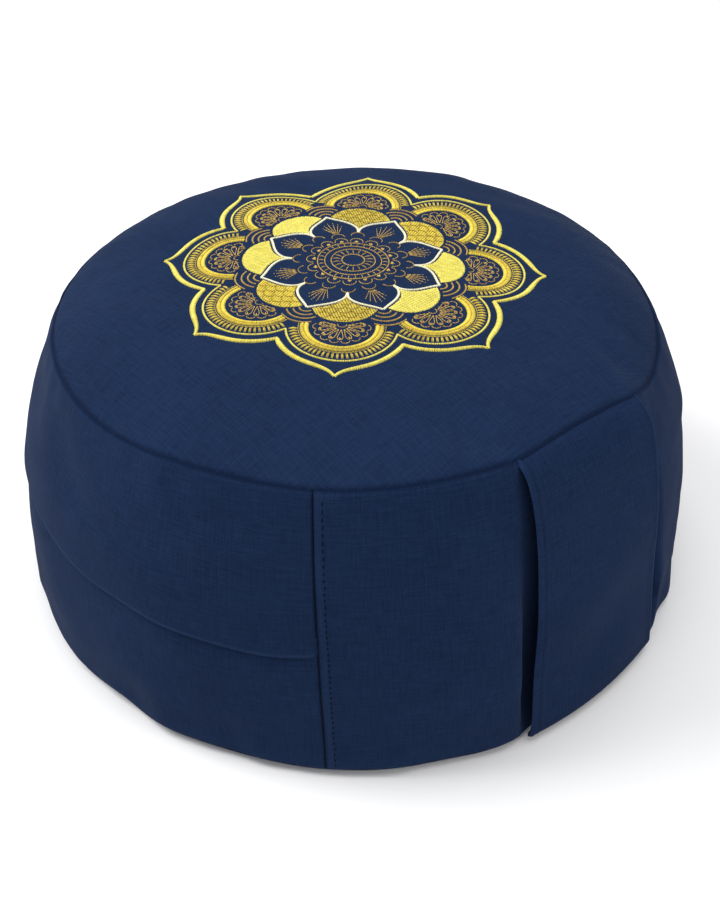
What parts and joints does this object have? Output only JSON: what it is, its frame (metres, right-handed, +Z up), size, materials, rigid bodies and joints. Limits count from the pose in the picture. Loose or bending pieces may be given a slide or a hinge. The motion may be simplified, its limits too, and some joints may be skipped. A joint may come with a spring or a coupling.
{
  "type": "floor cushion",
  "caption": "Round husk-filled floor cushion with domed embroidered top, concealed zip in the side wall and a wide carrying handle.",
  "frame": {"origin": "centre of the round base, on the floor", "axes": "+Z up, +X out through the middle of the carrying handle"},
  "size_m": [0.3273, 0.33, 0.1586],
  "materials": {
    "navy_canvas": "plain-woven cotton canvas, piece-dyed navy, matt",
    "navy_thread": "spun polyester sewing thread, navy",
    "lemon_thread": "rayon embroidery thread, lemon, soft lustre",
    "gold_thread": "rayon embroidery thread, golden yellow, soft lustre",
    "ochre_thread": "rayon embroidery thread, ochre brown, soft lustre",
    "cream_thread": "rayon embroidery thread, cream, soft lustre",
    "zip_tape": "woven polyester zip tape, navy",
    "zip_coil": "coiled polyester zip teeth, navy",
    "zip_metal": "die-cast zinc, navy enamel",
    "liner_calico": "unbleached cotton calico",
    "husk": "loose dry grain husks"
  },
  "bodies": {
    "cushion": {"cover_top_panel": "navy_canvas", "cover_bottom_panel": "navy_canvas", "wall_plain_panel": "navy_canvas", "wall_zip_panel_upper": "navy_canvas", "wall_zip_panel_lower": "navy_canvas", "wall_seam_stitching": "navy_thread", "zip_tape_upper": "zip_tape", "zip_tape_lower": "zip_tape", "zip_coil_upper": "zip_coil", "zip_coil_lower": "zip_coil", "zip_end_stops": "zip_metal", "embroidery_petal_outlines": "lemon_thread", "embroidery_petal_arches": "gold_thread", "embroidery_petal_edge_lines": "lemon_thread", "embroidery_petal_ladders": "gold_thread", "embroidery_lace_loops": "ochre_thread", "embroidery_corner_fans": "ochre_thread", "embroidery_plain_leaves": "lemon_thread", "embroidery_scale_leaves": "gold_thread", "embroidery_inner_petals": "cream_thread", "embroidery_petal_veins": "ochre_thread", "embroidery_rosette_scallops": "ochre_thread", "embroidery_rosette_rings": "ochre_thread", "liner_top_panel": "liner_calico", "liner_wall_panel": "liner_calico", "liner_bottom_panel": "liner_calico", "husk_filling": "husk"},
    "handle": {"carry_handle": "navy_canvas", "handle_hem_stitching": "navy_thread"},
    "slider": {"zip_slider": "zip_metal", "zip_pull_tab": "zip_metal"}
  },
  "joints": [
    {"name": "handle_pull", "type": "slide", "parent": "cushion", "child": "handle", "axis": [1, 0, 0], "range_m": [0, 0.015]},
    {"name": "zip_slide", "type": "hinge", "parent": "cushion", "child": "slider", "pos_m": [0, 0, 0.09], "axis": [0, 0, 1], "range_deg": [0, 160]}
  ]
}
